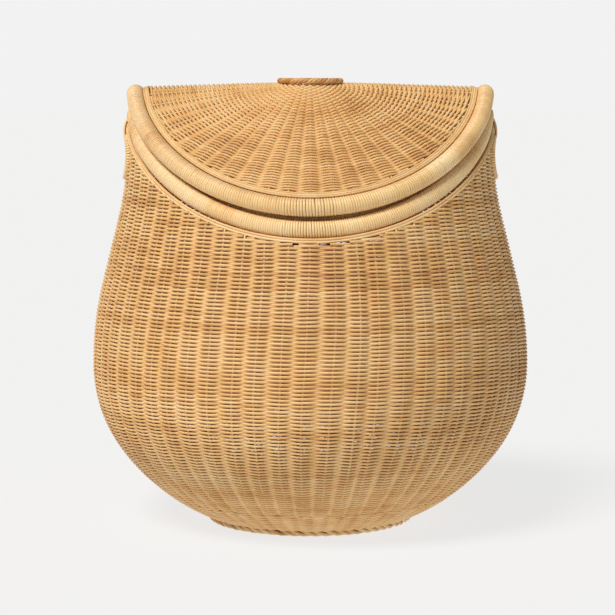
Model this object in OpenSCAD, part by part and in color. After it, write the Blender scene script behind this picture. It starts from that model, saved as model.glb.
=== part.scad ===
// Round-bellied woven rattan hamper with a saddle-shaped mouth, two hand-holds and a lift-off lid.
// The origin is on the floor at the centre of the foot, +Z is up and the lid's ridge runs along X.
// Lengths are in millimetres and angles in degrees.

/* [Wall] */
// Outside diameter of the neck at its two high sides
neck_d = 464; // [400:2:560]
// How far the belly stands out past the neck, all round
belly_out = 45; // [36:1:56]
// Height of the belly's widest level
belly_h = 200; // [178:1:240]
// Radius of the wall's curve just under the belly
under_belly_r = 182; // [160:2:210]
// Angle that the curve just under the belly turns through
under_belly_turn = 36; // [31:1:42]
// Radius of the wall's curve just above the belly
shoulder_r = 430; // [380:5:500]
// Lean of the straight stretch above the shoulder, from upright
wall_lean = 14; // [12:0.5:15.5]
// Radius of the hollow curve that brings the wall upright at the neck
neck_curve_r = 360; // [310:5:420]
// Thickness of the woven wall
wall_t = 8; // [6.5:0.5:9.5]
// Height where the three-cane band round the foot gives way to the plain weave
band_h = 30; // [26:1:36]

/* [Stakes] */
// Number of upright stakes in the wall
stake_count = 59; // [45:2:69]
// Thickness of a stake
stake_d = 4; // [3.2:0.1:4.8]

/* [Foot and base] */
// Diameter of the circle where the wall meets the foot border
foot_d = 264; // [230:2:320]
// Thickness of the rolled border that the basket stands on
border_d = 14; // [12:0.5:17]
// Width of the border's worn flat, which rests on the floor
border_flat = 8.8; // [7:0.1:10]
// Thickness of the woven base
base_t = 8; // [7:0.5:10]
// Diameter of the sticks that cross in the base
base_stick_d = 3.4; // [2.8:0.1:3.8]
// Number of base sticks in each of the two crossing layers
base_stick_count = 4; // [3:1:6]

/* [Rims] */
// Height of the basket rim's centre at the two high sides
side_h = 516.5; // [430:0.5:620]
// Slope of the mouth where it falls away from the ridge
gable_angle = 32; // [27:0.5:37]
// Radius that rounds the mouth where its two slopes meet
ridge_round = 76; // [60:1:95]
// Thickness of a wrapped rim
rim_d = 21.4; // [18:0.2:25]
// Thickness of the cane wrapped round a rim
rim_wrap_t = 1.7; // [1.4:0.1:2]
// Clear gap between the two rims on their steepest stretch
rim_gap = 0.7; // [0.5:0.1:1.5]
// Distance of the rim's centre line in from the wall's outer face
rim_inset = 11.5; // [10:0.1:13]
// Diameter of the thin canes laid beside the rims
cane_d = 3.2; // [2.6:0.1:3.6]

/* [Lid] */
// Number of spokes in the lid
spoke_count = 53; // [43:2:65]
// Diameter of a spoke
spoke_d = 3.5; // [3:0.1:4]
// Thickness of the woven lid sheet
sheet_t = 7; // [6:0.2:8]
// Rise of the spokes' outer ends above the lid rim's centre
sheet_rise = 5; // [3:0.5:6]
// Rise of the lid's middle above the lid rim's centre at the ridge
crown = 10; // [7:0.5:14]
// Outside diameter of the finger ring
ring_d = 84; // [72:1:100]
// Thickness of the plaited finger ring
ring_cane_d = 7.5; // [6.5:0.1:9]

/* [Locating ring] */
// Thickness of the wrapped ring that drops inside the mouth
locate_d = 12; // [10:0.2:14]
// Thickness of the cane wrapped round the locating ring
locate_wrap_t = 1.4; // [1:0.1:1.8]
// Clear gap between the locating ring and the basket rim
locate_gap = 2; // [1.5:0.1:4]
// Height of the locating ring's centre above the basket rim's
locate_rise = 9; // [6:0.5:11]
// Number of lashings that hold the locating ring to the lid rim
tie_count = 8; // [6:1:12]
// Thickness of a lashing
tie_d = 4; // [3:0.2:5]

/* [Hand-holds] */
// Half height of a hand-hold, to the centre of its hoop
hold_r = 24.5; // [21:0.5:29]
// Length of the straight stretch between a hoop's round ends
hold_straight = 43; // [36:1:56]
// Drop of a hand-hold's centre below the basket rim's
hold_drop = 54; // [51:0.5:66]
// Thickness of a wrapped hoop
hoop_d = 9; // [8:0.2:10]
// Thickness of the cane wrapped round a hoop
hoop_wrap_t = 1.2; // [1:0.1:1.5]
// How far a hoop's centre is sunk below the wall's outer face
hoop_sink = 1.5; // [0:0.1:2.5]

/* [Nails] */
// Diameter of a rim nail
nail_d = 1.8; // [1.4:0.1:2]
// Length of a rim nail
nail_length = 12; // [9:0.5:14]
// Spacing of the nails along a rim's scarf joint, as an angle about the axis
nail_step = 5; // [3:0.5:7]

/* [Hidden] */
$fn = 48;

weave_colour = "#D2A566";
stake_colour = "#DDB87E";
rim_colour = "#E3BE86";
cane_colour = "#D9AE72";
steel_colour = "#9A9A98";

ring_steps = 80;
rim_sides = 10;
locate_sides = 8;
cane_sides = 6;
hoop_sides = 8;
hoop_end_steps = 9;
arc_step = 6;
wrap_slit = 0.1;
back = 90;
seat = 0.1;
bite = 2;

neck_r = neck_d / 2;
belly_r = neck_r + belly_out;
stake_r = stake_d / 2;
rim_r = rim_d / 2;
cane_r = cane_d / 2;
locate_r = locate_d / 2;
hub_r = ring_d / 2 - ring_cane_d - 1;
rim_step = (rim_d + rim_gap) / cos(gable_angle);
lid_side_h = side_h + rim_step;
hub_h = lid_side_h + crown;
border_mid_h = sqrt(pow(border_d / 2, 2) - pow(border_flat / 2, 2));
locate_out = -sqrt(pow(rim_r + locate_r + locate_gap, 2) - pow(locate_rise, 2));

// The wall's outer face in section: curves listed from the foot up as [centre, radius, first angle,
// last angle, side], where side is 1 on a curve that bulges outwards and -1 on the hollow one.
foot_point = [foot_d / 2, border_mid_h];
under_centre = [belly_r - under_belly_r, belly_h];
under_dir = [cos(under_belly_turn), -sin(under_belly_turn)];
under_point = under_centre + under_belly_r * under_dir;
foot_chord = under_point - foot_point;
foot_curve_r = (foot_chord * foot_chord) / (2 * (foot_chord * under_dir));
foot_centre = under_point - foot_curve_r * under_dir;
foot_angle = -acos((foot_point.x - foot_centre.x) / foot_curve_r);
straight_h = (belly_out - (shoulder_r + neck_curve_r) * (1 - cos(wall_lean))) / tan(wall_lean);
lean_start_h = belly_h + shoulder_r * sin(wall_lean);
lean_end_h = lean_start_h + straight_h;
neck_h = lean_end_h + neck_curve_r * sin(wall_lean);
wall_top = max(side_h, neck_h + wall_t);
band_angle = -asin((foot_centre.y - band_h) / foot_curve_r);
foot_curve = [foot_centre, foot_curve_r, band_angle, -under_belly_turn, 1];
band_curve = [foot_centre, foot_curve_r, foot_angle, band_angle, 1];
under_curve = [under_centre, under_belly_r, -under_belly_turn, 0, 1];
shoulder_curve = [[belly_r - shoulder_r, belly_h], shoulder_r, 0, wall_lean, 1];
neck_curve = [[neck_r + neck_curve_r, neck_h], neck_curve_r, 180 + wall_lean, 180, -1];
wall_curves = [foot_curve, under_curve, shoulder_curve, neck_curve];

// A point of a curve at one angle, moved inwards through the wall by depth
function on_curve(c, angle, depth) = c[0] + (c[1] - c[4] * depth) * [cos(angle), sin(angle)];

// The points of a list of curves, at one depth in the wall
function curve_points(curves, depth) = [
    for (c = curves)
        let (steps = ceil(abs(c[3] - c[2]) / arc_step))
            for (i = [0:steps]) on_curve(c, c[2] + (c[3] - c[2]) * i / steps, depth)
];

// A curve cut short where it reaches a height, or whole if it ends lower
function cut_curve(c, height, depth) =
    let (rise = (height - c[0].y) / (c[1] - c[4] * depth),
         end = on_curve(c, c[3], depth).y <= height ? c[3] : c[4] > 0 ? asin(rise) : 180 - asin(rise))
        [c[0], c[1], c[2], end, c[4]];

// The radius of the wall's outer face at a height from the under-belly curve up
function wall_r_at(h) =
    h >= neck_h ? neck_r
    : h >= lean_end_h ? neck_r + neck_curve_r - sqrt(pow(neck_curve_r, 2) - pow(neck_h - h, 2))
    : h >= lean_start_h ? on_curve(shoulder_curve, wall_lean, 0).x - (h - lean_start_h) * tan(wall_lean)
    : h >= belly_h ? belly_r - shoulder_r + sqrt(pow(shoulder_r, 2) - pow(h - belly_h, 2))
    : belly_r - under_belly_r + sqrt(pow(under_belly_r, 2) - pow(belly_h - h, 2));

// How far the mouth has fallen from its ridge at a distance y in front of or behind it
function mouth_fall(y) =
    let (a = abs(y), bend = ridge_round * sin(gable_angle))
        a < bend ? ridge_round - sqrt(pow(ridge_round, 2) - a * a)
        : ridge_round * (1 - cos(gable_angle)) + (a - bend) * tan(gable_angle);

// The basket rim's centre line: its radius follows the wall, so it is found by a few passes
function rim_radius(a, passes = 7) =
    (passes == 0 ? neck_r : wall_r_at(side_h - mouth_fall(rim_radius(a, passes - 1) * sin(a)))) - rim_inset;
function rim_centre(a) = let (r = rim_radius(a)) [r * cos(a), r * sin(a), side_h - mouth_fall(r * sin(a))];
function unit(v) = v / norm(v);
function outward(a) = [cos(a), sin(a), 0];

// A point beside the rim's centre line: out and up are square to the line, lift is straight up
function rim_point(a, out, up, lift) =
    let (along = unit(rim_centre(a + 1) - rim_centre(a - 1)),
         across = unit(outward(a) - (outward(a) * along) * along))
        rim_centre(a) + out * across + up * cross(across, along) + [0, 0, lift];

// A point of the lid: back is measured from a spoke's outer end along it, up is square to the sheet
function lid_point(a, back, up) =
    let (inner = [hub_r * cos(a), hub_r * sin(a), hub_h],
         outer = rim_centre(a) + [0, 0, rim_step + sheet_rise],
         along = unit(outer - inner))
        outer - back * along + up * unit([0, 0, 1] - along.z * along);
function spoke_length(a) =
    norm(rim_centre(a) + [0, 0, rim_step + sheet_rise] - [hub_r * cos(a), hub_r * sin(a), hub_h]);

// The angles of the steps round a rim, from its back
function ring_angles() = [for (i = [0:ring_steps - 1]) back + i * 360 / ring_steps];
function slit_angles() = [
    for (i = [0:ring_steps])
        back + i * 360 / ring_steps + (i == 0 ? wrap_slit : i == ring_steps ? -wrap_slit : 0)
];

// The section of a rod at step i of its path, a ring of points square to the path
function neighbour(path, i, closed) =
    closed ? path[(i + len(path)) % len(path)] : path[max(0, min(len(path) - 1, i))];
function section(path, outs, i, r, sides, closed) =
    let (along = unit(neighbour(path, i + 1, closed) - neighbour(path, i - 1, closed)),
         across = unit(outs[i] - (outs[i] * along) * along),
         lifted = cross(across, along))
        [
            for (k = [0:sides - 1])
                let (turn = 360 * k / sides) path[i] + r * (cos(turn) * across + sin(turn) * lifted)
        ];

// Two triangles for each cell between neighbouring sections, which start at point number base
function skin(rings, sides, base, closed, flip) = [
    for (i = [0:rings - (closed ? 1 : 2)])
        for (k = [0:sides - 1])
            let (p = base + i * sides + k,
                 q = base + i * sides + (k + 1) % sides,
                 s = base + ((i + 1) % rings) * sides + (k + 1) % sides,
                 t = base + ((i + 1) % rings) * sides + k)
                each (flip ? [[p, q, s], [p, s, t]] : [[p, s, q], [p, t, s]])
];

// A round rod whose path closes on itself
module ring_rod(path, outs, r, sides) {
    points = [for (i = [0:len(path) - 1]) each section(path, outs, i, r, sides, true)];
    polyhedron(points, skin(len(path), sides, 0, true, true));
}

// A hollow sleeve along an open path, with a flat ring of faces at each end
module sleeve(path, outs, r_in, r_out, sides) {
    rings = len(path);
    inner = rings * sides;
    last = (rings - 1) * sides;
    points = concat(
        [for (i = [0:rings - 1]) each section(path, outs, i, r_out, sides, false)],
        [for (i = [0:rings - 1]) each section(path, outs, i, r_in, sides, false)]
    );
    ends = [
        for (k = [0:sides - 1])
            let (n = (k + 1) % sides)
                each [
                    [k, inner + n, n], [k, inner + k, inner + n],
                    [last + k, last + n, inner + last + n], [last + k, inner + last + n, inner + last + k]
                ]
    ];
    sides_out = skin(rings, sides, 0, false, true);
    sides_in = skin(rings, sides, inner, false, false);
    polyhedron(points, concat(sides_out, sides_in, ends));
}

// A straight round rod between two points
module rod(from, to, d) {
    v = to - from;
    translate(from) rotate([0, acos(v.z / norm(v)), atan2(v.y, v.x)]) cylinder(d = d, h = norm(v));
}

// The wall along a list of curves, turned all round, and carried up the neck to a height if one is given
module wall_shell(curves, top) {
    rise = top > 0 ? [[neck_r, top], [neck_r - wall_t, top]] : [];
    outer = curve_points(curves, 0);
    inner = curve_points(curves, wall_t);
    rotate_extrude() polygon(concat(outer, rise, [for (i = [len(inner) - 1:-1:0]) inner[i]]));
}

// Everything above the mouth, lowered so that the wall stops just under the rim's canes
module above_mouth() {
    reach = belly_r + rim_d;
    widen = (neck_r - wall_t / 2) / (neck_r - rim_inset);
    drop = rim_cane_drop(2) + cane_r + seat;
    rounding = [for (i = [-5:5]) ridge_round * sin(gable_angle * i / 5)];
    ys = concat([-reach], rounding, [reach]);
    edge = [for (y = ys) [y * widen, side_h - mouth_fall(y) - drop / cos(gable_angle)]];
    top = wall_top + rim_d;
    rotate([90, 0, 90]) linear_extrude(4 * reach, center = true)
        polygon(concat(edge, [[reach * widen, top], [-reach * widen, top]]));
}

// The canes under the rim lie on the outsides of the stakes, the first one level with the rim's underside
function rim_cane_drop(n) = rim_r + (n - 0.5) * cane_d;

// The outline of a hand-hold, with round ends, as a bar through the wall on both sides
module hand_holds() {
    translate([0, 0, side_h - hold_drop]) rotate([90, 0, 90])
        linear_extrude(4 * belly_r, center = true) {
            square([hold_straight, 2 * hold_r], center = true);
            for (end = [-1, 1]) translate([end * hold_straight / 2, 0]) circle(hold_r);
        }
}

// A hoop's centre line round a hand-hold, as points across and up, and then bent to the wall
function hoop_outline() = [
    for (end = [1, -1])
        for (i = [0:hoop_end_steps])
            let (a = -90 + 180 * i / hoop_end_steps)
                end * [hold_straight / 2 + hold_r * cos(a), hold_r * sin(a)]
];
function hoop_path(side) = [
    for (p = hoop_outline())
        let (h = side_h - hold_drop + p.y, r = wall_r_at(h) - hoop_sink)
            [side * sqrt(r * r - p.x * p.x), p.x, h]
];
function hoop_outs(path) = [for (p = path) unit([p.x, p.y, 0])];

module foot_border() {
    color(cane_colour) rotate_extrude() intersection() {
        translate([foot_d / 2 - border_d / 2 - seat, border_mid_h]) circle(d = border_d);
        square([foot_d, 2 * border_d]);
    }
}

// One layer of parallel base sticks, at its height in the woven base
module base_sticks(layer) {
    level = border_mid_h + base_stick_d * (layer - 0.5);
    reach = foot_d / 2 - border_d - seat;
    pitch = 2 * base_stick_d;
    for (i = [0:base_stick_count - 1]) {
        across = (i - (base_stick_count - 1) / 2) * pitch;
        half = sqrt(reach * reach - across * across) - base_stick_d;
        rotate([0, 0, 90 * layer]) rod([-half, across, level], [half, across, level], base_stick_d);
    }
}

module base_sticks_lower() {
    color(stake_colour) base_sticks(0);
}

module base_sticks_upper() {
    color(stake_colour) base_sticks(1);
}

module base_weave() {
    color(weave_colour) translate([0, 0, border_mid_h - base_t / 2])
        cylinder(r = foot_d / 2 - border_d - seat, h = base_t);
}

module foot_band() {
    color(weave_colour) wall_shell([band_curve], 0);
}

// One edge of a stake at one depth in the wall, from the foot border up to a height
function stake_edge(top, depth) =
    let (root = foot_angle - asin(bite / foot_curve_r),
         lean_start = on_curve(shoulder_curve, wall_lean, depth),
         lean_end = on_curve(neck_curve, 180 + wall_lean, depth),
         share = (top - lean_start.y) / (lean_end.y - lean_start.y))
        concat(
            curve_points([[foot_centre, foot_curve_r, root, -under_belly_turn, 1], under_curve], depth),
            curve_points([cut_curve(shoulder_curve, top, depth)], depth),
            top > lean_end.y ? curve_points([cut_curve(neck_curve, top, depth)], depth)
            : top > lean_start.y ? [lean_start + share * (lean_end - lean_start)] : [],
            top > neck_h ? [[neck_r - depth, top]] : []
        );

// One stake, bent to the wall's middle, from the foot border to the basket rim
module stake(a) {
    top = rim_centre(a).z - rim_r + bite;
    outer = stake_edge(top, wall_t / 2 - stake_r);
    inner = stake_edge(top, wall_t / 2 + stake_r);
    rotate([90, 0, a]) linear_extrude(stake_d, center = true)
        polygon(concat(outer, [for (i = [len(inner) - 1:-1:0]) inner[i]]));
}

module side_stakes() {
    hold_half = hold_straight / 2 + hold_r + stake_d;
    color(stake_colour) for (i = [0:stake_count - 1]) {
        a = (i + 0.5) * 360 / stake_count;
        if (abs(neck_r * sin(a)) < hold_half)
            difference() {
                stake(a);
                hand_holds();
            }
        else
            stake(a);
    }
}

module side_weave() {
    color(weave_colour) difference() {
        wall_shell(wall_curves, wall_top);
        above_mouth();
        hand_holds();
    }
}

// The bent pole inside a rim, at a lift above the basket's own rim
module rim_core(lift) {
    path = [for (a = ring_angles()) rim_point(a, 0, 0, lift)];
    ring_rod(path, [for (a = ring_angles()) outward(a)], rim_r - rim_wrap_t, rim_sides);
}

// The cane wrapped closely round a rim's pole, as one sleeve with its ends together at the back
module rim_wrap(lift) {
    path = [for (a = slit_angles()) rim_point(a, 0, 0, lift)];
    sleeve(path, [for (a = slit_angles()) outward(a)], rim_r - rim_wrap_t, rim_r, rim_sides);
}

// The nails through a rim pole's scarf joint, at the back
module rim_nails(lift) {
    for (i = [-1:1])
        rod(rim_point(back + i * nail_step, -nail_length / 2, 0, lift),
            rim_point(back + i * nail_step, nail_length / 2, 0, lift), nail_d);
}

module body_rim_core() {
    color(cane_colour) rim_core(0);
}

module body_rim_wrap() {
    color(rim_colour) rim_wrap(0);
}

module body_rim_canes() {
    out = rim_inset - wall_t / 2 + stake_r + cane_r;
    color(cane_colour) for (n = [1, 2]) {
        path = [for (a = ring_angles()) rim_point(a, out, -rim_cane_drop(n), 0)];
        ring_rod(path, [for (a = ring_angles()) outward(a)], cane_r, cane_sides);
    }
}

module body_rim_nails() {
    color(steel_colour) rim_nails(0);
}

module hoop_core(side) {
    path = hoop_path(side);
    ring_rod(path, hoop_outs(path), hoop_d / 2 - hoop_wrap_t, hoop_sides);
}

// The cane wrapped round a hoop, as one sleeve that starts and ends at the middle of the hoop's foot
module hoop_wrap(side) {
    closed = hoop_path(side);
    start = 2 * hoop_end_steps + 1;
    between = (closed[start] + closed[0]) / 2;
    step = wrap_slit * unit(closed[0] - closed[start]);
    path = concat([between + step], closed, [between - step]);
    sleeve(path, hoop_outs(path), hoop_d / 2 - hoop_wrap_t, hoop_d / 2, hoop_sides);
}

module hoop_core_left() {
    color(cane_colour) hoop_core(-1);
}

module hoop_core_right() {
    color(cane_colour) hoop_core(1);
}

module hoop_wrap_left() {
    color(rim_colour) hoop_wrap(-1);
}

module hoop_wrap_right() {
    color(rim_colour) hoop_wrap(1);
}

module finger_ring() {
    color(cane_colour) translate([0, 0, hub_h + sheet_t / 2 + ring_cane_d / 2 - bite])
        rotate_extrude() translate([(ring_d - ring_cane_d) / 2, 0]) circle(d = ring_cane_d);
}

module lid_spokes() {
    color(stake_colour) for (i = [0:spoke_count - 1]) {
        a = (i + 0.5) * 360 / spoke_count;
        rod(lid_point(a, rim_r / 2, 0), lid_point(a, spoke_length(a), 0), spoke_d);
    }
}

// How far the first or second cane beside the lid rim lies back along the spokes
function lid_cane_back(n) = rim_r - cane_r + seat + (n - 1) * (cane_d + seat);

module lid_weave() {
    edge = lid_cane_back(2) + cane_r + seat;
    points = [
        for (a = ring_angles())
            let (whole = spoke_length(a))
                each [
                    lid_point(a, edge, sheet_t / 2), lid_point(a, edge, -sheet_t / 2),
                    lid_point(a, whole, -sheet_t / 2), lid_point(a, whole, sheet_t / 2)
                ]
    ];
    color(weave_colour) polyhedron(points, skin(ring_steps, 4, 0, true, false));
}

module lid_rim_core() {
    color(cane_colour) rim_core(rim_step);
}

module lid_rim_wrap() {
    color(rim_colour) rim_wrap(rim_step);
}

module lid_rim_canes() {
    color(cane_colour) for (n = [1, 2]) {
        path = [for (a = ring_angles()) lid_point(a, lid_cane_back(n), spoke_d / 2 + cane_r)];
        ring_rod(path, [for (a = ring_angles()) outward(a)], cane_r, cane_sides);
    }
}

module lid_rim_nails() {
    color(steel_colour) rim_nails(rim_step);
}

module locating_ring_core() {
    path = [for (a = ring_angles()) rim_point(a, locate_out, locate_rise, 0)];
    color(cane_colour)
        ring_rod(path, [for (a = ring_angles()) outward(a)], locate_r - locate_wrap_t, locate_sides);
}

module locating_ring_wrap() {
    path = [for (a = slit_angles()) rim_point(a, locate_out, locate_rise, 0)];
    color(rim_colour)
        sleeve(path, [for (a = slit_angles()) outward(a)], locate_r - locate_wrap_t, locate_r, locate_sides);
}

// Short lashings from the locating ring out to the lid rim, whose slanting ends stop inside the two wraps
module locating_ring_ties() {
    color(cane_colour) for (i = [0:tie_count - 1]) {
        a = (i + 0.5) * 360 / tie_count;
        from = rim_point(a, locate_out, locate_rise, 0);
        to = rim_point(a, 0, 0, rim_step);
        along = unit(to - from);
        tilt = abs(along * unit(rim_centre(a + 1) - rim_centre(a - 1)));
        slant = sqrt(1 - tilt * tilt);
        start = (locate_r - locate_wrap_t / 2 + tie_d / 2 * tilt) / slant;
        end = (rim_r - rim_wrap_t / 2 + tie_d / 2 * tilt) / slant;
        rod(from + start * along, to - end * along, tie_d);
    }
}

foot_border();
base_sticks_lower();
base_sticks_upper();
base_weave();
foot_band();
side_stakes();
side_weave();
body_rim_core();
body_rim_wrap();
body_rim_canes();
body_rim_nails();
hoop_core_left();
hoop_core_right();
hoop_wrap_left();
hoop_wrap_right();
finger_ring();
lid_spokes();
lid_weave();
lid_rim_core();
lid_rim_wrap();
lid_rim_canes();
lid_rim_nails();
locating_ring_core();
locating_ring_wrap();
locating_ring_ties();
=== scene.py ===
# Woven rattan laundry basket: a round-bellied wall woven on upright stakes, a saddle-shaped mouth
# between two cane-wrapped rims, a hooped hand-hold at each side and a woven lid with a plaited ring.
# Shapes are worked out in millimetres and degrees, and a finished piece is in metres.
import bpy
import bmesh
import math
import numpy
import random
from mathutils import Matrix, Vector, noise


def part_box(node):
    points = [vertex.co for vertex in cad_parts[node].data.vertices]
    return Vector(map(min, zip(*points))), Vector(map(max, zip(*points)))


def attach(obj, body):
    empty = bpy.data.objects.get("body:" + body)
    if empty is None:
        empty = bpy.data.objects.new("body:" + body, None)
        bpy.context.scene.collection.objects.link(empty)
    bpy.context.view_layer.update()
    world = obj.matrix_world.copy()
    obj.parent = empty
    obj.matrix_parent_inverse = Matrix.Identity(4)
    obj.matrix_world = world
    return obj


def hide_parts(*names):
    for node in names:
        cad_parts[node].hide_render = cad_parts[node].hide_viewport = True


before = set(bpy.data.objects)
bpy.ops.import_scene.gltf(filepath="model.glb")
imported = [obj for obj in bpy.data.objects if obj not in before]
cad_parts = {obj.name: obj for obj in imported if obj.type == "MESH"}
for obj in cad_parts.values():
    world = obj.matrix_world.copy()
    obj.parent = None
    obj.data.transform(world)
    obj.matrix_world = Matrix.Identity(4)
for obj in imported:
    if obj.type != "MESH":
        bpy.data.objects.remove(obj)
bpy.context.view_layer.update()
mm = 0.001
chance = random.Random(59)
print("frame loaded:", len(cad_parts), "parts")


def linear(hexColour):
    parts = [int(hexColour[i:i + 2], 16) / 255 for i in (1, 3, 5)]
    return [c / 12.92 if c <= 0.04045 else ((c + 0.055) / 1.055) ** 2.4 for c in parts] + [1]


def addNode(tree, kind, links=None, values=None, **settings):
    node = tree.nodes.new(kind)
    for name, value in settings.items():
        setattr(node, name, value)
    for name, value in (values or {}).items():
        node.inputs[name].default_value = value
    for name, source in (links or {}).items():
        tree.links.new(source, node.inputs[name])
    return node


# Each look is one kind of cane. patchSize, fleckSize and grainDepth are in millimetres, streaks are
# counted per decimetre along the cane and fibres once round it.
caneLooks = {
    # peeled round core: a dry, matt straw to honey, with fine pores along the cane
    "peeledCore": dict(pale="#F6D9A6", honey="#E6B878", dark="#B97F45", roughness=0.58,
                       patchSize=38, streaks=5, fibres=7, fleckSize=3.2, fleck=0.30,
                       grainDepth=0.10, toneShare=0.5, coat=0.0),
    # round core for stakes and spokes: a shade paler than the weavers as painted light, lifting them in the
    # shade of their recesses
    "stakeCorePaintedLight": dict(pale="#F8DFB2", honey="#EBC389", dark="#C18E54", roughness=0.56,
                      patchSize=45, streaks=5, fibres=7, fleckSize=3.5, fleck=0.26,
                      grainDepth=0.10, toneShare=0.5, coat=0.0),
    # split outer skin, wound on the rims: smooth, with the satin gloss of the cane's own skin
    "splitSkin": dict(pale="#FBE3B8", honey="#F1C98F", dark="#CD9659", roughness=0.40,
                      patchSize=60, streaks=4, fibres=3, fleckSize=4.5, fleck=0.16,
                      grainDepth=0.04, toneShare=0.35, coat=0.12),
    # soaked and plaited core of the borders: a little browner where it was handled
    "borderCore": dict(pale="#F6DAA8", honey="#E6BA7C", dark="#BC8549", roughness=0.54,
                       patchSize=30, streaks=6, fibres=6, fleckSize=3.0, fleck=0.34,
                       grainDepth=0.10, toneShare=0.6, coat=0.0),
}


# shares of the way from dark to pale cane where each colour sits, and how the pores and flecks show
grain = dict(darkAt=0.18, honeyAt=0.46, paleAt=0.80, poreScale=1.6, poreShow=0.55, poreBump=0.5,
             fleckFrom=0.62, fleckFull=0.74, coatRoughness=0.35)


def caneMaterial(name):
    look = caneLooks[name]
    material = bpy.data.materials.new(name)
    material.use_nodes = True
    tree = material.node_tree
    tree.nodes.clear()
    place = addNode(tree, "ShaderNodeTexCoord")
    tone = addNode(tree, "ShaderNodeAttribute", attribute_name="caneTone")
    patches = addNode(tree, "ShaderNodeTexNoise", links={"Vector": place.outputs["Object"]},
                      values={"Scale": 1 / (look["patchSize"] * mm), "Detail": 3})
    shade = addNode(tree, "ShaderNodeMix", data_type="FLOAT", values={0: look["toneShare"]},
                    links={2: patches.outputs["Fac"], 3: tone.outputs["Fac"]})
    colour = addNode(tree, "ShaderNodeValToRGB", links={"Fac": shade.outputs[0]})
    ramp = colour.color_ramp
    ramp.elements[0].position, ramp.elements[0].color = grain["darkAt"], linear(look["dark"])
    ramp.elements[1].position, ramp.elements[1].color = grain["paleAt"], linear(look["pale"])
    ramp.elements.new(grain["honeyAt"]).color = linear(look["honey"])
    # pores run along the cane: the first UV axis is decimetres along it, the second is once round it
    along = addNode(tree, "ShaderNodeMapping", links={"Vector": place.outputs["UV"]},
                    values={"Scale": (look["streaks"], look["fibres"], 1)})
    pores = addNode(tree, "ShaderNodeTexNoise", links={"Vector": along.outputs[0]},
                    values={"Scale": grain["poreScale"], "Detail": 4})
    grained = addNode(tree, "ShaderNodeMix", data_type="RGBA", blend_type="SOFT_LIGHT",
                      values={0: grain["poreShow"]},
                      links={6: colour.outputs["Color"], 7: pores.outputs["Color"]})
    flecks = addNode(tree, "ShaderNodeTexNoise", links={"Vector": place.outputs["Object"]},
                     values={"Scale": 1 / (look["fleckSize"] * mm), "Detail": 1})
    spots = addNode(tree, "ShaderNodeMapRange", links={"Value": flecks.outputs["Fac"]},
                    values={"From Min": grain["fleckFrom"], "From Max": grain["fleckFull"],
                            "To Max": look["fleck"]})
    flecked = addNode(tree, "ShaderNodeMix", data_type="RGBA", values={7: linear(look["dark"])},
                      links={0: spots.outputs["Result"], 6: grained.outputs[2]})
    bump = addNode(tree, "ShaderNodeBump", links={"Height": pores.outputs["Fac"]},
                   values={"Strength": grain["poreBump"], "Distance": look["grainDepth"] * mm})
    surface = addNode(tree, "ShaderNodeBsdfPrincipled", links={"Base Color": flecked.outputs[2],
                                                                "Normal": bump.outputs[0]},
                      values={"Roughness": look["roughness"], "Coat Weight": look["coat"],
                              "Coat Roughness": grain["coatRoughness"]})
    addNode(tree, "ShaderNodeOutputMaterial", links={"Surface": surface.outputs[0]})
    return material


poleLook = dict(dark="#8A5A2C", pale="#B98549", patchSize=60, streakWidth=4, waver=0.4, darkAt=0.35,
                paleAt=0.65, roughness=0.65)


# Peeled rattan pole inside the rims: dry, brownish wood with fine soft streaks in broader patches
def poleMaterial():
    material = bpy.data.materials.new("peeledPole")
    material.use_nodes = True
    tree = material.node_tree
    surface = tree.nodes["Principled BSDF"]
    place = addNode(tree, "ShaderNodeTexCoord")
    streaks = addNode(tree, "ShaderNodeTexNoise", links={"Vector": place.outputs["Object"]},
                      values={"Scale": 1 / (poleLook["streakWidth"] * mm), "Detail": 3,
                              "Distortion": poleLook["waver"]})
    patches = addNode(tree, "ShaderNodeTexNoise", links={"Vector": place.outputs["Object"]},
                      values={"Scale": 1 / (poleLook["patchSize"] * mm)})
    both = addNode(tree, "ShaderNodeMix", data_type="FLOAT", values={0: 0.5},
                   links={2: streaks.outputs["Fac"], 3: patches.outputs["Fac"]})
    colour = addNode(tree, "ShaderNodeValToRGB", links={"Fac": both.outputs[0]})
    first, second = colour.color_ramp.elements
    first.position, first.color = poleLook["darkAt"], linear(poleLook["dark"])
    second.position, second.color = poleLook["paleAt"], linear(poleLook["pale"])
    tree.links.new(colour.outputs["Color"], surface.inputs["Base Color"])
    surface.inputs["Roughness"].default_value = poleLook["roughness"]
    return material


nailLook = dict(steel="#8C8C8A", rust="#6E5140", spotSize=1.5, steelTo=0.5, rustFrom=0.75, roughness=0.45)


# Drawn steel wire of the nails: grey, dull, a little rusty in spots
def nailMaterial():
    material = bpy.data.materials.new("drawnSteelWire")
    material.use_nodes = True
    tree = material.node_tree
    surface = tree.nodes["Principled BSDF"]
    place = addNode(tree, "ShaderNodeTexCoord")
    rust = addNode(tree, "ShaderNodeTexNoise", links={"Vector": place.outputs["Object"]},
                   values={"Scale": 1 / (nailLook["spotSize"] * mm), "Detail": 2})
    colour = addNode(tree, "ShaderNodeValToRGB", links={"Fac": rust.outputs["Fac"]})
    first, second = colour.color_ramp.elements
    first.position, first.color = nailLook["steelTo"], linear(nailLook["steel"])
    second.position, second.color = nailLook["rustFrom"], linear(nailLook["rust"])
    tree.links.new(colour.outputs["Color"], surface.inputs["Base Color"])
    surface.inputs["Metallic"].default_value = 1
    surface.inputs["Roughness"].default_value = nailLook["roughness"]
    return material


canes = {name: caneMaterial(name) for name in caneLooks}
pole = poleMaterial()
nailSteel = nailMaterial()
for node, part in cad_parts.items():
    hidden = nailSteel if node.endswith("nails") else pole
    for slot in part.material_slots:
        slot.material = hidden
print("materials ready:", len(canes) + 2)


shadeCount = 9


def pickTone(spread=0.1):
    return min(1, max(0, chance.gauss(0.5, spread)))


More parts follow.
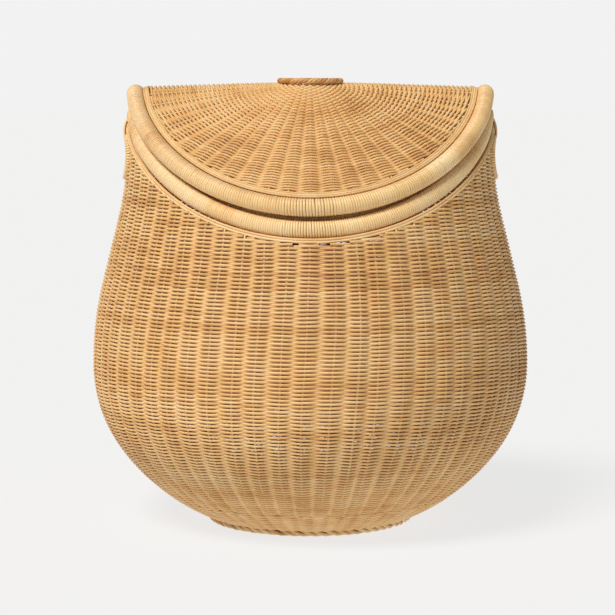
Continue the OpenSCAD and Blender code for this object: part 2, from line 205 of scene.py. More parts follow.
# Canes of one shade become one mesh: each cane is (points, radius or radii), all in millimetres
def shadeMesh(strands, sides, closed, upright):
    curve = bpy.data.curves.new("cane", "CURVE")
    curve.dimensions = "3D"
    curve.bevel_depth = mm
    curve.bevel_resolution = (sides - 4) // 2
    curve.use_fill_caps = not closed
    curve.twist_mode = "Z_UP" if upright else "MINIMUM"
    for points, radius in strands:
        spline = curve.splines.new("POLY")
        spline.points.add(len(points) - 1)
        spline.points.foreach_set("co", [c for p in points for c in (p.x * mm, p.y * mm, p.z * mm, 1)])
        spline.points.foreach_set("radius", radius if isinstance(radius, list) else [radius] * len(points))
        spline.use_cyclic_u = closed
    holder = bpy.data.objects.new("cane", curve)
    mesh = bpy.data.meshes.new_from_object(holder)
    bpy.data.objects.remove(holder)
    bpy.data.curves.remove(curve)
    scaleAlong(mesh, [points for points, radius in strands], sides, closed)
    return mesh


# Turns the first UV axis from a share of each cane into decimetres along it
def scaleAlong(mesh, paths, sides, closed):
    lengths = [sum((b - a).length for a, b in zip(path, path[1:])) / 100 for path in paths]
    caps = 0 if closed else 6 * (sides - 2)
    corners = [4 * sides * (len(path) if closed else len(path) - 1) + caps for path in paths]
    places = numpy.empty(2 * len(mesh.loops), dtype=numpy.float32)
    layer = mesh.uv_layers[0].data
    layer.foreach_get("uv", places)
    places[0::2] *= numpy.repeat(lengths, corners)
    layer.foreach_set("uv", places)


# A finished piece from (mesh, tone) parts, which rides on its body and hides the CAD nodes it takes the place
# of
def finishPiece(name, parts, look, body, nodes):
    whole = bmesh.new()
    tones = []
    for mesh, tone in parts:
        whole.from_mesh(mesh)
        tones += [tone] * len(mesh.vertices)
        bpy.data.meshes.remove(mesh)
    made = bpy.data.meshes.new(name)
    whole.to_mesh(made)
    whole.free()
    made.attributes.new("caneTone", "FLOAT", "POINT").data.foreach_set("value", tones)
    made.materials.clear()
    made.materials.append(canes[look])
    made.shade_smooth()
    piece = bpy.data.objects.new(name, made)
    bpy.context.scene.collection.objects.link(piece)
    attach(piece, body)
    if nodes:
        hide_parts(*nodes)
    print(f"{name}: {sum(len(p.vertices) - 2 for p in made.polygons)} triangles")


# strands are (points, radius, tone)
def makeCanes(name, strands, look, body, nodes=(), sides=6, closed=False, upright=True):
    shades = {}
    for points, radius, tone in strands:
        shades.setdefault(round(tone * (shadeCount - 1)), []).append((points, radius))
    parts = [(shadeMesh(group, sides, closed, upright), level / (shadeCount - 1))
             for level, group in sorted(shades.items())]
    finishPiece(name, parts, look, body, nodes)


# One turn of flat cane round a pole of radius inner: its crowned section is spun about X
def turnMesh(inner, thick, width, steps):
    section = [(-0.5, 0.0), (-0.47, 0.62), (0.0, 1.0), (0.47, 0.62), (0.5, 0.0)]
    shape = bmesh.new()
    verts = [shape.verts.new((x * width * mm, (inner + y * thick) * mm, 0)) for x, y in section]
    edges = [shape.edges.new((verts[i], verts[(i + 1) % len(verts)])) for i in range(len(verts))]
    bmesh.ops.spin(shape, geom=verts + edges, axis=(1, 0, 0), cent=(0, 0, 0), steps=steps,
                   angle=2 * math.pi, use_merge=True)
    bmesh.ops.remove_doubles(shape, verts=shape.verts, dist=0.01 * mm)
    bmesh.ops.recalc_face_normals(shape, faces=shape.faces)
    places = shape.loops.layers.uv.new("UVMap")
    for face in shape.faces:
        middle = face.calc_center_median()
        around = math.atan2(middle.z, middle.y)
        for loop in face.loops:
            spot = loop.vert.co
            turn = around + math.remainder(math.atan2(spot.z, spot.y) - around, 2 * math.pi)
            loop[places].uv = (turn * inner / 100, spot.x / (width * mm))
    mesh = bpy.data.meshes.new("turn")
    shape.to_mesh(mesh)
    shape.free()
    return mesh


# how far hand-wound turns stray in place, lean, size and tone
windings = dict(place=0.04, lean=0.7, swell=0.012, swellSize=45, sizeJump=0.004, newCane=0.03,
                firstSpread=0.12, caneSpread=0.14, turnSpread=0.06)


# Closely wound turns along a closed path. frameAt(share) gives centre, along and outward there.
def makeWrap(name, wrap, frameAt, length, look, body, nodes):
    count = round(length / wrap["pitch"])
    turn = turnMesh(wrap["inner"], wrap["thick"], wrap["pitch"], wrap["steps"])
    parts = []
    tone = pickTone(windings["firstSpread"])
    for i in range(count):
        share = (i + chance.uniform(-windings["place"], windings["place"])) / count
        centre, along, outward = frameAt(share)
        lifted = along.cross(outward).normalized()
        basis = Matrix((along, outward, lifted)).transposed().to_4x4()
        lean = math.radians(wrap["lean"] + chance.gauss(0, windings["lean"]))
        swell = 1 + windings["swell"] * noise.noise(centre / windings["swellSize"])
        swell += chance.gauss(0, windings["sizeJump"])
        copy = turn.copy()
        copy.transform(Matrix.Translation(centre * mm) @ basis @ Matrix.Rotation(lean, 4, "Y")
                       @ Matrix.Diagonal((1, swell, swell, 1)))
        if chance.random() < windings["newCane"]:
            tone = pickTone(windings["caneSpread"])
        parts.append((copy, min(1, max(0, tone + chance.gauss(0, windings["turnSpread"])))))
    bpy.data.meshes.remove(turn)
    finishPiece(name, parts, look, body, nodes)


# The basket's form, taken from the CAD parts where they show it
wallHigh = [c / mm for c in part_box("side_weave")[1]]
bandLow, bandHigh = [[c / mm for c in corner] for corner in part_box("foot_band")]
wall = dict(bellyOut=45, bellyHeight=200, underBellyR=182, underBellyTurn=36, shoulderR=430, lean=14,
            neckCurveR=360, thick=8, neckRise=80, arcStep=2)
bellyR = wallHigh[0]
neckR = bellyR - wall["bellyOut"]
borderHigh = [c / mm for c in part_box("foot_border")[1]]
seat = 0.1
footPoint = Vector((borderHigh[0] + seat, bandLow[2]))


def polar(radius, turn):
    return Vector((radius * math.cos(turn), radius * math.sin(turn)))


def wallSection():
    turn = math.radians(wall["underBellyTurn"])
    lean = math.radians(wall["lean"])
    underCentre = Vector((bellyR - wall["underBellyR"], wall["bellyHeight"]))
    underPoint = underCentre + polar(wall["underBellyR"], -turn)
    away = polar(1, -turn)
    chord = underPoint - footPoint
    footR = chord.length_squared / (2 * chord.dot(away))
    footCentre = underPoint - footR * away
    footTurn = -math.acos((footPoint.x - footCentre.x) / footR)
    shoulderCentre = Vector((bellyR - wall["shoulderR"], wall["bellyHeight"]))
    curves = wall["shoulderR"] + wall["neckCurveR"]
    slopeRise = (wall["bellyOut"] - curves * (1 - math.cos(lean))) / math.tan(lean)
    neckHeight = wall["bellyHeight"] + curves * math.sin(lean) + slopeRise
    neckCentre = Vector((neckR + wall["neckCurveR"], neckHeight))
    arcs = [(footCentre, footR, footTurn, -turn), (underCentre, wall["underBellyR"], -turn, 0),
            (shoulderCentre, wall["shoulderR"], 0, lean),
            (neckCentre, wall["neckCurveR"], math.pi + lean, math.pi)]
    points = []
    for centre, radius, first, last in arcs:
        steps = max(2, round(abs(last - first) * radius / wall["arcStep"]))
        points += [centre + polar(radius, first + (last - first) * i / steps) for i in range(steps + 1)]
    return points + [Vector((neckR, neckHeight + wall["neckRise"]))]


tiny = 1e-6
halvings = 24
sectionPoints = wallSection()
sectionRun = [0]
for before, after in zip(sectionPoints, sectionPoints[1:]):
    sectionRun.append(sectionRun[-1] + (after - before).length)


# Radius and height of the wall's middle, and its outward direction, at a length up the section
def wallAt(run):
    low, high = 0, len(sectionRun) - 1
    while high - low > 1:
        middle = (low + high) // 2
        low, high = (middle, high) if sectionRun[middle] <= run else (low, middle)
    share = (run - sectionRun[low]) / max(tiny, sectionRun[high] - sectionRun[low])
    point = sectionPoints[low].lerp(sectionPoints[high], share)
    tangent = (sectionPoints[high] - sectionPoints[low]).normalized()
    out = Vector((tangent.y, -tangent.x))
    return point - out * wall["thick"] / 2, out


def runAtHeight(height):
    low, high = 0, sectionRun[-1]
    for _ in range(halvings):
        middle = (low + high) / 2
        low, high = (middle, high) if wallAt(middle)[0].y < height else (low, middle)
    return low


def wallRadius(height):
    for before, after in zip(sectionPoints, sectionPoints[1:]):
        if before.y <= height <= after.y:
            return before.lerp(after, (height - before.y) / max(tiny, after.y - before.y)).x
    return neckR


settleRounds = 7
mouth = dict(sideHeight=516.5, slope=32, ridgeRound=76, rimInset=11.5, rimR=10.7, rimGap=0.7)


def mouthFall(y):
    slope = math.radians(mouth["slope"])
    bend = mouth["ridgeRound"] * math.sin(slope)
    if abs(y) < bend:
        return mouth["ridgeRound"] - math.sqrt(mouth["ridgeRound"] ** 2 - y * y)
    return mouth["ridgeRound"] * (1 - math.cos(slope)) + (abs(y) - bend) * math.tan(slope)


def rimCentre(turn):
    radius = neckR - mouth["rimInset"]
    for _ in range(settleRounds):
        radius = wallRadius(mouth["sideHeight"] - mouthFall(radius * math.sin(turn))) - mouth["rimInset"]
    flat = polar(radius, turn)
    return Vector((flat.x, flat.y, mouth["sideHeight"] - mouthFall(flat.y)))


tableStep = math.radians(0.5)
tableSize = 720
rimTable = [rimCentre(i * tableStep) for i in range(tableSize)]


def rimSpot(turn):
    place = (turn / tableStep) % tableSize
    first = int(place)
    return rimTable[first % tableSize].lerp(rimTable[(first + 1) % tableSize], place - first)


# The rim's centre, its direction, and the outward direction square to it
def rimFrame(turn):
    along = (rimSpot(turn + 2 * tableStep) - rimSpot(turn - 2 * tableStep)).normalized()
    radial = Vector((math.cos(turn), math.sin(turn), 0))
    outward = (radial - radial.dot(along) * along).normalized()
    return rimSpot(turn), along, outward


def besideRim(turn, out, up):
    centre, along, outward = rimFrame(turn)
    return centre + out * outward + up * outward.cross(along)


rimStep = (2 * mouth["rimR"] + mouth["rimGap"]) / math.cos(math.radians(mouth["slope"]))
rimLengths = [0]
for i in range(tableSize):
    rimLengths.append(rimLengths[-1] + (rimTable[(i + 1) % tableSize] - rimTable[i]).length)


# A turn about the axis for a share of the way along the rim, from the back
def rimTurn(share):
    run = share % 1 * rimLengths[-1]
    low, high = 0, tableSize
    while high - low > 1:
        middle = (low + high) // 2
        low, high = (middle, high) if rimLengths[middle] <= run else (low, middle)
    part = (run - rimLengths[low]) / (rimLengths[high] - rimLengths[low])
    return (low + part) * tableStep + math.pi / 2


hold = dict(r=24.5, straight=43, drop=54, sink=1.5, beyond=150, near=0.004)
holdHeight = mouth["sideHeight"] - hold["drop"]


def inHandHold(point, margin):
    across = max(0, abs(point.y) - hold["straight"] / 2)
    near = math.hypot(across, point.z - holdHeight) < hold["r"] + margin
    return abs(point.x) > hold["beyond"] and near


print("form ready: belly radius", round(bellyR), "rim length", round(rimLengths[-1]))


# Stakes and weave of the wall. Numbers called seed only pick a different patch of the noise.
stakes = dict(count=59, r=1.6, shift=0.09, wander=0.10, wanderSize=110, wanderApart=0.83, wanderSeed=7,
              frontTurn=-90, slantStart=335, slant=0.01, slantEnd=85, bow=0.3, bowSwing=0.25, bowSize=30,
              bowApart=3.1, bowSeed=3, step=6, past=4, clear=2, toneSpread=0.15)
weaver = dict(r=1.55, pitch=2.34, swing=2.5, lowSwing=0.66, fullSwingHeight=260, sway=1.0, swaySize=42,
              swayTurns=6, jolt=0.1, joltRate=0.9, joltSeed=31, quarter=4, caneLength=120, clear=1)
underRim = dict(spots=[(9.6, -10.7), (10.2, -13.6), (6.6, -12.0)], lowest=-16.3, r=1.6)

stakeShift = [chance.uniform(-stakes["shift"], stakes["shift"]) for _ in range(stakes["count"])]
limitTable = [besideRim(i * tableStep, underRim["spots"][0][0], underRim["lowest"]).z
              for i in range(tableSize)]


def wallLimit(turn):
    place = (turn / tableStep) % tableSize
    first = int(place)
    share = place - first
    return limitTable[first % tableSize] * (1 - share) + limitTable[(first + 1) % tableSize] * share


def stakeTurn(index, height):
    step = 2 * math.pi / stakes["count"]
    number = index % stakes["count"]
    spot = Vector((number * stakes["wanderApart"], height / stakes["wanderSize"], stakes["wanderSeed"]))
    wander = stakes["wander"] * noise.noise(spot)
    drop = stakes["slantStart"] - min(stakes["slantStart"], max(stakes["slantEnd"], height))
    first = math.radians(stakes["frontTurn"] - stakes["slant"] * drop)
    return first + (index + stakeShift[number] + wander) * step


def onWall(turn, run, depth):
    middle, out = wallAt(run)
    flat = middle + out * depth
    return Vector((flat.x * math.cos(turn), flat.x * math.sin(turn), flat.y))


# One point of the long spiral of weaver: place counts stakes passed, pattern says over (1) or under (-1)
def weaverPoint(place, startRun, pitch, pattern, swing):
    index = math.floor(place)
    part = place - index
    run = startRun + pitch * place / stakes["count"]
    height = wallAt(run)[0].y
    turn = stakeTurn(index, height) * (1 - part) + stakeTurn(index + 1, height) * part
    ease = (1 - math.cos(math.pi * part)) / 2
    depth = pattern[index % len(pattern)] * (1 - ease) + pattern[(index + 1) % len(pattern)] * ease
    turns = weaver["swayTurns"]
    spot = Vector((math.cos(turn) * turns, math.sin(turn) * turns, run / weaver["swaySize"]))
    sway = weaver["sway"] * noise.noise(spot)
    jolt = weaver["jolt"] * noise.noise(Vector((place * weaver["joltRate"], run, weaver["joltSeed"])))
    grown = min(1, height / weaver["fullSwingHeight"])
    depth *= swing * (weaver["lowSwing"] * (1 - grown) + grown)
    point = onWall(turn, run + sway + jolt, depth + jolt)
    isOpen = point.z < wallLimit(turn) and not inHandHold(point, weaver["clear"])
    return point, isOpen


def edgePlace(inside, outside, pointAt):
    for _ in range(settleRounds):
        middle = (inside + outside) / 2
        inside, outside = (middle, outside) if pointAt(middle)[1] else (inside, middle)
    return inside


leastStep = 0.1


# Cuts the spiral where it leaves the wall, and where one cane ends and the next is laid in
def spiralCanes(pointAt, first, last, caneLength, quarter):
    strands, current, tone = [], [], pickTone()
    change = first + chance.uniform(0.3, 1) * caneLength
    wasOpen, before = False, first
    for q in range(int((last - first) * quarter) + 1):
        place = first + q / quarter
        point, isOpen = pointAt(place)
        if isOpen and not wasOpen and q:
            current = [pointAt(edgePlace(place, before, pointAt))[0]]
        if isOpen:
            if len(current) == 1 and (point - current[0]).length < leastStep:
                current = []
            current.append(point)
        ended = wasOpen and not isOpen
        if ended:
            edge = pointAt(edgePlace(before, place, pointAt))[0]
            current += [edge] if (edge - current[-1]).length > leastStep else []
        if (ended or (place > change and isOpen)) and len(current) > 2:
            strands.append((current, weaver["r"], tone, before))
            current = [] if ended else [point]
        if place > change:
            change = place + chance.uniform(0.55, 1.45) * caneLength
            tone = pickTone()
        wasOpen, before = isOpen, place
    if len(current) > 2:
        strands.append((current, weaver["r"], tone, before))
    return strands


bandTop = runAtHeight(bandHigh[2])
wallTopRun = runAtHeight(mouth["sideHeight"] - mouth["rimR"])
rowCount = (wallTopRun - bandTop) / weaver["pitch"]
wallStrands = spiralCanes(
    lambda place: weaverPoint(place, bandTop, weaver["pitch"], (1, -1), weaver["swing"]),
    0, rowCount * stakes["count"], weaver["caneLength"], weaver["quarter"])
pieceCount = 4
for number in range(pieceCount):
    lowPlace, highPlace = [rowCount * stakes["count"] * share / pieceCount for share in (number, number + 1)]
    isTop = number == pieceCount - 1
    chosen = [strand[:3] for strand in wallStrands
              if lowPlace <= strand[3] < highPlace or (isTop and strand[3] >= highPlace)]
    makeCanes(f"wall_weave_{number + 1}", chosen, "peeledCore", "basket", ["side_weave"])

# three-cane band at the foot: over two stakes and behind one, in slightly closer rows
wale = dict(squeeze=0.95, start=1, caneLength=60, quarter=3)
waleRows = bandTop / (weaver["pitch"] * wale["squeeze"])
waleStrands = spiralCanes(
    lambda place: weaverPoint(place, wale["start"], weaver["pitch"] * wale["squeeze"], (1, 1, -1),
                              weaver["swing"] * wale["squeeze"]),
    0, waleRows * stakes["count"], wale["caneLength"], wale["quarter"])
makeCanes("foot_wale", [strand[:3] for strand in waleStrands], "peeledCore", "basket",
          ["foot_band"])


def stakeStrands():
    strands = []
    for index in range(stakes["count"]):
        tone, current, run = pickTone(stakes["toneSpread"]), [], -stakes["past"]
        while run < wallTopRun + stakes["past"]:
            height = wallAt(max(0, run))[0].y
            turn = stakeTurn(index, height)
            spot = Vector((index * stakes["bowApart"], run / stakes["bowSize"], stakes["bowSeed"]))
            bow = stakes["bow"] + stakes["bowSwing"] * noise.noise(spot)
            point = onWall(turn, run, bow)
            stop = wallLimit(turn) + underRim["r"]
            if point.z > stop or inHandHold(point, stakes["clear"]):
                if len(current) > 2:
                    strands.append((current, stakes["r"], tone))
                current = []
            else:
                current.append(point)
            run += stakes["step"]
        if len(current) > 2:
            strands.append((current, stakes["r"], tone))
    return strands


# the stakes take the paler core cane, painted light that lifts them where they sit back in the weave
makeCanes("wall_stakes", stakeStrands(), "stakeCorePaintedLight", "basket", ["side_stakes"],
          upright=False)


ringSteps = 240
ringTurns = [math.radians(i * 360 / ringSteps) for i in range(ringSteps)]
laid = dict(drift=0.25, driftTurns=5, driftApart=9, tone=0.45, toneStep=0.3, sides=8)


# Canes laid side by side along the whole rim
def followers(name, pointAt, radius, count, look, body, nodes):
    strands = []
    for n in range(count):
        path = []
        for turn in ringTurns:
            turns = laid["driftTurns"]
            spot = Vector((math.cos(turn) * turns, math.sin(turn) * turns, n * laid["driftApart"]))
            drift = laid["drift"] * noise.noise(spot)
            path.append(pointAt(turn, n, drift))
        strands.append((path, radius, laid["tone"] + laid["toneStep"] * (n % 2)))
    makeCanes(name, strands, look, body, nodes, sides=laid["sides"], closed=True)


followers("rim_canes_below", lambda turn, n, drift: besideRim(
    turn, underRim["spots"][n][0] + drift, underRim["spots"][n][1] + drift),
    underRim["r"], len(underRim["spots"]), "borderCore", "basket", ["body_rim_canes"])


def rimFrameAt(lift):
    def frameAt(share):
        centre, along, outward = rimFrame(rimTurn(share))
        return centre + Vector((0, 0, lift)), along, outward
    return frameAt


bodyWrap = dict(inner=9.2, thick=1.6, pitch=2.9, steps=16, lean=2.2)
lidWrap = dict(inner=9.2, thick=1.6, pitch=3.3, steps=16, lean=2.5)
makeWrap("rim_wrap_basket", bodyWrap, rimFrameAt(0), rimLengths[-1], "splitSkin", "basket",
         ["body_rim_wrap"])
makeWrap("rim_wrap_lid", lidWrap, rimFrameAt(rimStep), rimLengths[-1], "splitSkin", "lid",
         ["lid_rim_wrap"])

locating = dict(r=6, gap=2, rise=9, near=0.01, wrapped=0.93)
locateOut = -math.sqrt((mouth["rimR"] + locating["r"] + locating["gap"]) ** 2 - locating["rise"] ** 2)


def locatingFrame(share):
    turn = rimTurn(share)
    turns = [turn + step for step in (-locating["near"], 0, locating["near"])]
    near = [besideRim(place, locateOut, locating["rise"]) for place in turns]
    along = (near[2] - near[0]).normalized()
    radial = Vector((math.cos(turn), math.sin(turn), 0))
    return near[1], along, (radial - radial.dot(along) * along).normalized()


locatingWrap = dict(inner=4.6, thick=1.35, pitch=3.4, steps=10, lean=5)
makeWrap("locating_ring_wrap_cane", locatingWrap, locatingFrame, rimLengths[-1] * locating["wrapped"],
         "splitSkin", "lid", ["locating_ring_wrap"])


def hoopSpot(side, share):
    straight, r = hold["straight"], hold["r"]
    lap = 2 * straight + 2 * math.pi * r
    run = share % 1 * lap
    half = lap / 2
    sign = 1 if run < half else -1
    run -= 0 if run < half else half
    if run < math.pi * r:
        turn = run / r - math.pi / 2
        flat = (straight / 2 + r * math.cos(turn), r * math.sin(turn))
    else:
        flat = (straight / 2 - (run - math.pi * r), r)
    y, z = sign * flat[0], holdHeight + sign * flat[1]
    radius = wallRadius(z) - hold["sink"]
    return Vector((side * math.sqrt(radius * radius - y * y), y, z))


def hoopFrameAt(side):
    def frameAt(share):
        centre = hoopSpot(side, share)
        along = hoopSpot(side, share + hold["near"]) - hoopSpot(side, share - hold["near"])
        along.normalize()
        radial = Vector((centre.x, centre.y, 0)).normalized()
        return centre, along, (radial - radial.dot(along) * along).normalized()
    return frameAt


hoopWrap = dict(inner=3.4, thick=1.2, pitch=3.0, steps=12, lean=6)
hoopLength = 2 * hold["straight"] + 2 * math.pi * hold["r"]
lashing = dict(apart=17, loops=5, step=2.7, lean=2.5, inset=2.5, rimDrop=7, grip=4.6, r=1.25, turnSteps=20,
               tuck=1, toneSpread=0.12)


# Slanting loops that bind the top of a hoop to the underside of the rim above it
def hoopLashings(side):
    strands = []
    for hand in (-1, 1):
        for n in range(lashing["loops"]):
            y = hand * lashing["apart"] + (n - (lashing["loops"] - 1) / 2) * lashing["step"]
            slant = -hand * lashing["lean"]
            low = Vector((side * (neckR - lashing["inset"]), y - slant,
                          holdHeight + hold["r"] - lashing["tuck"]))
            top = rimSpot(math.atan2(y, side * neckR)).z - lashing["rimDrop"]
            high = Vector((side * (neckR - lashing["inset"] - lashing["tuck"]), y + slant, top))
            middle, reach = (low + high) / 2, (high - low) / 2
            grow = 1 + (lashing["grip"] - 1) / reach.length
            loop = []
            for i in range(lashing["turnSteps"]):
                turn = 2 * math.pi * i / lashing["turnSteps"]
                out = side * lashing["grip"] * math.cos(turn)
                loop.append(middle + reach * grow * math.sin(turn) + Vector((out, 0, 0)))
            strands.append((loop, lashing["r"], pickTone(lashing["toneSpread"])))
    return strands


for side, word in ((-1, "left"), (1, "right")):
    makeWrap(f"hoop_wrap_cane_{word}", hoopWrap, hoopFrameAt(side), hoopLength, "splitSkin",
             "basket", [f"hoop_wrap_{word}"])
    makeCanes(f"hoop_lashing_{word}", hoopLashings(side), "splitSkin", "basket", closed=True,
              upright=False)


lid = dict(rise=5, crown=10, hubR=33.5)
spokes = dict(count=53, r=1.6, shift=0.07, frontTurn=-90, bow=0.2, bowSize=30, bowApart=2.3, bowSeed=5,
              steps=30, thinAtHub=0.72, fullFrom=140, toneSpread=0.15)
lidWeaver = dict(hubPitch=3.3, rimPitch=2.36, fill=0.63, swing=2.3, hubSwing=0.7, swingGrowth=120, sway=0.8,
                 swaySize=40, swayTurns=5, jolt=0.16, joltRate=0.9, joltSeed=77, first=-1.5, quarter=4,
                 caneLength=110)
lidCanes = dict(firstBack=10.9, step=2.5, r=1.4, count=3, up=0.8, climb=0.8)
hubHeight = mouth["sideHeight"] + rimStep + lid["crown"]
spokeShift = [chance.uniform(-spokes["shift"], spokes["shift"]) for _ in range(spokes["count"])]


# A point of the lid at a distance from the hub along a spoke, and up from the sheet's middle
def onLid(turn, away, up):
    inner = Vector((lid["hubR"] * math.cos(turn), lid["hubR"] * math.sin(turn), hubHeight))
    outer = rimSpot(turn) + Vector((0, 0, rimStep + lid["rise"]))
    along = (outer - inner).normalized()
    return inner + away * along + up * (Vector((0, 0, 1)) - along.z * along).normalized()


def spokeLength(turn):
    inner = Vector((lid["hubR"] * math.cos(turn), lid["hubR"] * math.sin(turn), hubHeight))
    return (rimSpot(turn) + Vector((0, 0, rimStep + lid["rise"])) - inner).length


spokeTable = [spokeLength(i * tableStep) for i in range(tableSize)]


def spokeSpan(turn):
    place = (turn / tableStep) % tableSize
    first = int(place)
    share = place - first
    return spokeTable[first % tableSize] * (1 - share) + spokeTable[(first + 1) % tableSize] * share


def spokeTurn(index):
    step = 2 * math.pi / spokes["count"]
    return math.radians(spokes["frontTurn"]) + (index + spokeShift[index % spokes["count"]]) * step


# Distance from the hub at each spoke that the spiral of weaver passes, coarser near the hub
awayTable = [lidWeaver["first"]]
longest = max(spokeTable)
while awayTable[-1] < longest:
    share = awayTable[-1] / longest
    pitch = lidWeaver["hubPitch"] * (1 - share) + lidWeaver["rimPitch"] * share
    awayTable.append(awayTable[-1] + pitch / spokes["count"])


def lidWeaverPoint(place):
    index = math.floor(place)
    part = place - index
    end = len(awayTable) - 1
    away = awayTable[min(end, index)] * (1 - part) + awayTable[min(end, index + 1)] * part
    turn = spokeTurn(index) * (1 - part) + spokeTurn(index + 1) * part
    turns = lidWeaver["swayTurns"]
    spot = Vector((math.cos(turn) * turns, math.sin(turn) * turns, away / lidWeaver["swaySize"]))
    sway = lidWeaver["sway"] * noise.noise(spot)
    spot = Vector((place * lidWeaver["joltRate"], away, lidWeaver["joltSeed"]))
    jolt = lidWeaver["jolt"] * noise.noise(spot)
    grown = min(1, lidWeaver["hubSwing"] + away / lidWeaver["swingGrowth"])
    swing = lidWeaver["swing"] * math.cos(math.pi * place) * grown
    point = onLid(turn, away + sway + jolt, swing + jolt)
    edge = lidCanes["firstBack"] + lidCanes["step"] * lidCanes["count"]
    return point, away + sway < spokeSpan(turn) - edge


# The weaver is as thick as its rows are apart, so it is thinner where the rows lie closer
def lidRadius(point):
    share = min(1, max(0, (math.hypot(point.x, point.y) - lid["hubR"]) / longest))
    return lidWeaver["fill"] * (lidWeaver["hubPitch"] * (1 - share) + lidWeaver["rimPitch"] * share)


lidStrands = spiralCanes(lidWeaverPoint, 0, len(awayTable) - 2, lidWeaver["caneLength"],
                         lidWeaver["quarter"])
half = len(lidStrands) // 2
for number, chosen in enumerate((lidStrands[:half], lidStrands[half:])):
    thinned = [(points, [lidRadius(p) for p in points], tone) for points, _, tone, _ in chosen]
    makeCanes(f"lid_weave_{number + 1}", thinned, "peeledCore", "lid", ["lid_weave"])


def spokeStrands():
    strands = []
    for index in range(spokes["count"]):
        turn = spokeTurn(index)
        span = spokeSpan(turn)
        steps = spokes["steps"]
        away = [(span - lidCanes["firstBack"]) * i / steps for i in range(steps + 1)]
        spots = [Vector((index * spokes["bowApart"], a / spokes["bowSize"], spokes["bowSeed"])) for a in away]
        points = [onLid(turn, a, spokes["bow"] * noise.noise(spot)) for a, spot in zip(away, spots)]
        radii = [spokes["r"] * min(1, spokes["thinAtHub"] + a / spokes["fullFrom"]) for a in away]
        strands.append((points, radii, pickTone(spokes["toneSpread"])))
    return strands


makeCanes("lid_spoke_canes", spokeStrands(), "stakeCorePaintedLight", "lid", ["lid_spokes"])
followers("rim_canes_lid", lambda turn, n, drift: onLid(
    turn, spokeSpan(turn) - lidCanes["firstBack"] - n * lidCanes["step"] + drift,
    lidCanes["up"] + n * lidCanes["climb"] + drift),
    lidCanes["r"], lidCanes["count"], "borderCore", "lid", ["lid_rim_canes"])

ringLow, ringHigh = [[c / mm for c in corner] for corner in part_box("finger_ring")]
plait = dict(strands=4, twists=11, twistSteps=14, strandR=1.9, toneSpread=0.2)


# Canes laid round a ring as a rope: each goes round the ring's own centre line as it runs on
def ropeStrands(radius, height, coreR, form):
    strands = []
    for n in range(form["strands"]):
        path = []
        steps = form["twists"] * form["twistSteps"]
        for i in range(steps):
            turn = 2 * math.pi * i / steps
            roll = form["twists"] * turn + 2 * math.pi * n / form["strands"]
            out = coreR * math.cos(roll)
            up = coreR * math.sin(roll)
            flat = polar(radius + out, turn)
            path.append(Vector((flat.x, flat.y, height + up)))
        strands.append((path, form["strandR"], pickTone(form["toneSpread"])))
    return strands


ringThick = ringHigh[2] - ringLow[2]
ringMiddle = ringHigh[0] - ringThick / 2
ringHeight = (ringLow[2] + ringHigh[2]) / 2
plaitStrands = ropeStrands(ringMiddle, ringHeight, ringThick / 2 - plait["strandR"], plait)
makeCanes("finger_ring_plait", plaitStrands, "borderCore", "lid", ["finger_ring"], closed=True,
          upright=False)


border = dict(r=footPoint.x - 7.1, thick=14, strandR=2.3, reach=5, steps=14, rollFrom=75, rollBy=330,
              toneSpread=0.18)


# Each stake's end rolls over the outside, under the foot and back in, passing the next few stakes
def borderStrands():
    strands = []
    step = 2 * math.pi / stakes["count"]
    middle = footPoint.y
    for index in range(stakes["count"]):
        start = stakeTurn(index, 0)
        path = []
        for i in range(border["steps"] + 1):
            share = i / border["steps"]
            roll = math.radians(border["rollFrom"] - border["rollBy"] * share)
            turn = start + step * border["reach"] * share
            size = border["thick"] / 2 - border["strandR"]
            radius = border["r"] + size * math.cos(roll)
            height = max(border["strandR"], middle + size * math.sin(roll))
            path.append(Vector((radius * math.cos(turn), radius * math.sin(turn), height)))
        strands.append((path, border["strandR"], pickTone(border["toneSpread"])))
    return strands


makeCanes("foot_border_roll", borderStrands(), "borderCore", "basket", ["foot_border"],
          upright=False)

base = dict(ribs=33, ribR=1.7, weaverR=1.35, pitch=2.75, hubR=15, swing=2.7, up=1.2, jolt=0.2, joltRate=0.9,
            joltSeed=5, caneLength=60, quarter=3, past=1, ribRadii=(8, 40, 75), ribPast=4, sticks=4,
            stickStep=4.2, layerStep=3.4, stickPast=2, toneSpread=0.15)
baseR = border["r"] - border["thick"] / 2
baseHeight = footPoint.y + base["up"]


def baseWeaverPoint(place):
    index = math.floor(place)
    away = base["hubR"] + base["pitch"] * place / base["ribs"]
    turn = 2 * math.pi * place / base["ribs"]
    up = base["swing"] * math.cos(math.pi * place)
    jolt = base["jolt"] * noise.noise(Vector((place * base["joltRate"], away, base["joltSeed"])))
    point = Vector((away * math.cos(turn), away * math.sin(turn), baseHeight + up + jolt))
    return point, away < baseR + base["past"]


basePlaces = (baseR + base["past"] - base["hubR"]) / base["pitch"] * base["ribs"]
baseStrands = spiralCanes(baseWeaverPoint, 0, basePlaces, base["caneLength"], base["quarter"])
makeCanes("base_weave_canes", [(points, base["weaverR"], tone) for points, _, tone, _ in baseStrands],
          "peeledCore", "basket", ["base_weave"])


# Ribs out to the border, and two crossed layers of sticks at the middle
def baseRibs():
    strands = []
    for index in range(base["ribs"]):
        turn = 2 * math.pi * index / base["ribs"]
        ray = Vector((math.cos(turn), math.sin(turn), 0))
        rib = [ray * r + Vector((0, 0, baseHeight)) for r in (*base["ribRadii"], baseR + base["ribPast"])]
        strands.append((rib, base["ribR"], pickTone(base["toneSpread"])))
    reach = base["hubR"] + base["stickPast"]
    for layer in (0, 1):
        height = baseHeight + (layer - 0.5) * base["layerStep"]
        for n in range(base["sticks"]):
            across = (n - (base["sticks"] - 1) / 2) * base["stickStep"]
            ends = [Vector((x, across, height)) for x in (-reach, reach)]
            if layer:
                ends = [Vector((-p.y, p.x, p.z)) for p in ends]
            strands.append((ends, base["ribR"], pickTone(base["toneSpread"])))
    return strands


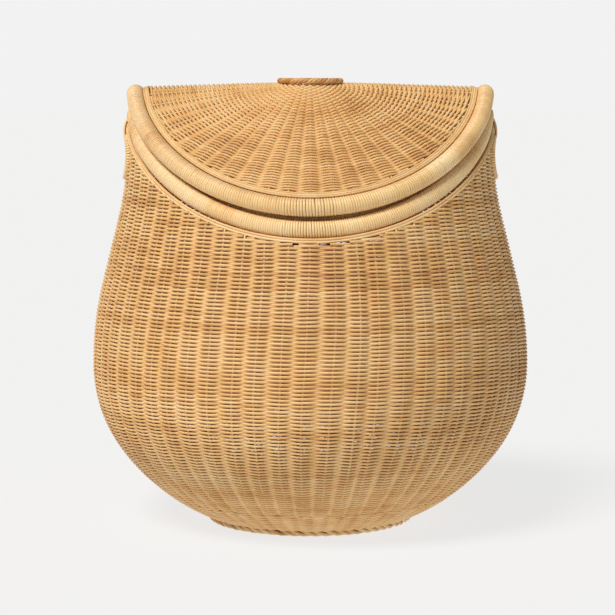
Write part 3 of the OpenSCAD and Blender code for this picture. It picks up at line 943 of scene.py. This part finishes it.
makeCanes("base_ribs", baseRibs(), "stakeCorePaintedLight", "basket",
          ["base_sticks_lower", "base_sticks_upper"])


# Soft studio: a warm sun high at the left, faint light all round and a pale floor. The colour given
# for the sun is already linear.
studio = dict(cameraBack=2730, cameraHeight=554, aimHeight=270, aimAcross=-3.5, lens=125.85, sensor=36,
              sunTurn=-36, sunHigh=54, sunSoft=22, sunPower=2.95, sunColour=(1.0, 0.965, 0.92), ambient=0.2,
              backdrop="#F2F2F2", floor="#646464", floorGlow=0.86, floorSize=60)


def addFloor():
    shape = bmesh.new()
    bmesh.ops.create_grid(shape, x_segments=1, y_segments=1, size=studio["floorSize"])
    mesh = bpy.data.meshes.new("studio_floor")
    shape.to_mesh(mesh)
    shape.free()
    material = bpy.data.materials.new("mattPaper")
    material.use_nodes = True
    surface = material.node_tree.nodes["Principled BSDF"]
    surface.inputs["Base Color"].default_value = linear(studio["floor"])
    surface.inputs["Roughness"].default_value = 1
    surface.inputs["Specular IOR Level"].default_value = 0
    surface.inputs["Emission Color"].default_value = linear(studio["backdrop"])
    surface.inputs["Emission Strength"].default_value = studio["floorGlow"]
    mesh.materials.append(material)
    floor = bpy.data.objects.new("studio_floor", mesh)
    bpy.context.scene.collection.objects.link(floor)


def addLight():
    sun = bpy.data.lights.new("key", "SUN")
    sun.energy = studio["sunPower"]
    sun.angle = math.radians(studio["sunSoft"])
    sun.color = studio["sunColour"]
    lamp = bpy.data.objects.new("key", sun)
    turn, high = math.radians(studio["sunTurn"]), math.radians(studio["sunHigh"])
    fromLight = Vector((math.sin(turn) * math.cos(high), -math.cos(turn) * math.cos(high), math.sin(high)))
    lamp.rotation_euler = fromLight.to_track_quat("Z", "Y").to_euler()
    bpy.context.scene.collection.objects.link(lamp)


def addWorld():
    world = bpy.data.worlds.new("studio")
    bpy.context.scene.world = world
    world.use_nodes = True
    tree = world.node_tree
    tree.nodes.clear()
    rays = addNode(tree, "ShaderNodeLightPath")
    light = addNode(tree, "ShaderNodeBackground",
                    values={"Color": (1, 1, 1, 1), "Strength": studio["ambient"]})
    seen = addNode(tree, "ShaderNodeBackground", values={"Color": linear(studio["backdrop"]), "Strength": 1})
    mixed = addNode(tree, "ShaderNodeMixShader",
                    links={0: rays.outputs["Is Camera Ray"], 1: light.outputs[0], 2: seen.outputs[0]})
    addNode(tree, "ShaderNodeOutputWorld", links={"Surface": mixed.outputs[0]})


def addCamera():
    lens = bpy.data.cameras.new("camera")
    lens.lens = studio["lens"]
    lens.sensor_width = studio["sensor"]
    camera = bpy.data.objects.new("camera", lens)
    camera.location = Vector((studio["aimAcross"], -studio["cameraBack"], studio["cameraHeight"])) * mm
    aim = Vector((studio["aimAcross"], 0, studio["aimHeight"])) * mm
    camera.rotation_euler = (aim - camera.location).to_track_quat("-Z", "Y").to_euler()
    bpy.context.scene.collection.objects.link(camera)
    bpy.context.scene.camera = camera


addFloor()
addLight()
addWorld()
addCamera()
bpy.context.scene.view_settings.view_transform = "Standard"
print("studio ready")
